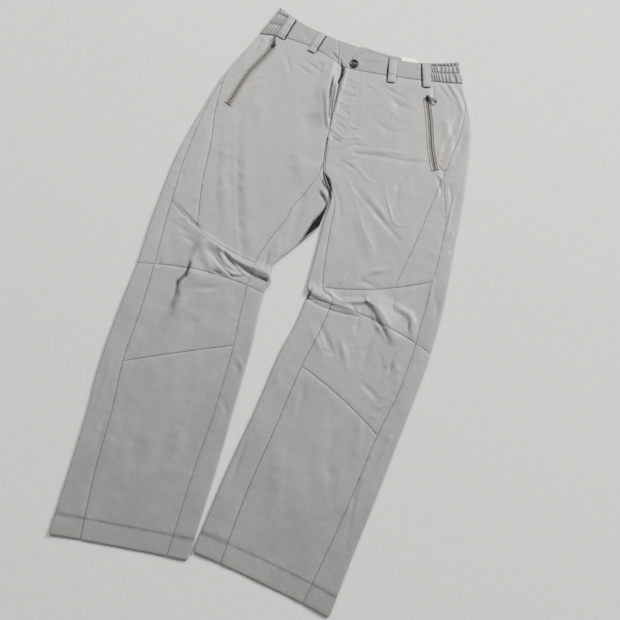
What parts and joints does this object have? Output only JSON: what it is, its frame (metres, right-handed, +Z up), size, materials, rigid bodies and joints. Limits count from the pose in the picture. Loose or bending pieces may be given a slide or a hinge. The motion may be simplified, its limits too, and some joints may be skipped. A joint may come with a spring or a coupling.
{
  "type": "hiking trousers",
  "caption": "Long hiking trousers laid flat front up, with a part elasticated waist, belt loops, zipped hip pockets, a waist button and seamed, folded knees.",
  "frame": {"origin": "centre of the bounding box at the surface the trousers lie on", "axes": "+Y from the hems towards the waist, +X towards the wearer's left leg, +Z up from the surface, front of the trousers up"},
  "size_m": [0.5692, 1.0742, 0.0178],
  "materials": {
    "shell_fabric": "matte woven",
    "zip_tape": "matte woven tape",
    "dark_metal": "satin dark metal",
    "label_fabric": "blank white woven"
  },
  "bodies": {
    "trousers": {"right_front_thigh": "shell_fabric", "right_side_thigh": "shell_fabric", "right_upper_knee": "shell_fabric", "right_lower_knee": "shell_fabric", "right_shin": "shell_fabric", "right_back_thigh": "shell_fabric", "right_back_calf": "shell_fabric", "right_elastic": "shell_fabric", "right_waistband": "shell_fabric", "right_zip_tape": "zip_tape", "right_slider": "dark_metal", "left_front_thigh": "shell_fabric", "left_side_thigh": "shell_fabric", "left_upper_knee": "shell_fabric", "left_lower_knee": "shell_fabric", "left_shin": "shell_fabric", "left_back_thigh": "shell_fabric", "left_back_calf": "shell_fabric", "left_elastic": "shell_fabric", "left_waistband": "shell_fabric", "left_zip_tape": "zip_tape", "left_slider": "dark_metal", "back_waistband": "shell_fabric", "belt_loop_1": "shell_fabric", "belt_loop_2": "shell_fabric", "belt_loop_3": "shell_fabric", "belt_loop_4": "shell_fabric", "button": "dark_metal", "label": "label_fabric"},
    "right_pull": {"right_pull_tab": "dark_metal"},
    "left_pull": {"left_pull_tab": "dark_metal"}
  },
  "joints": [
    {"name": "right_pull_hinge", "type": "hinge", "parent": "trousers", "child": "right_pull", "pos_m": [-0.18, 0.454, 0.00906], "axis": [0.9781, 0.2079, 0], "range_deg": [0, 160]},
    {"name": "left_pull_hinge", "type": "hinge", "parent": "trousers", "child": "left_pull", "pos_m": [0.141, 0.442, 0.00853], "axis": [-0.2588, -0.9659, 0], "range_deg": [0, 160]}
  ]
}
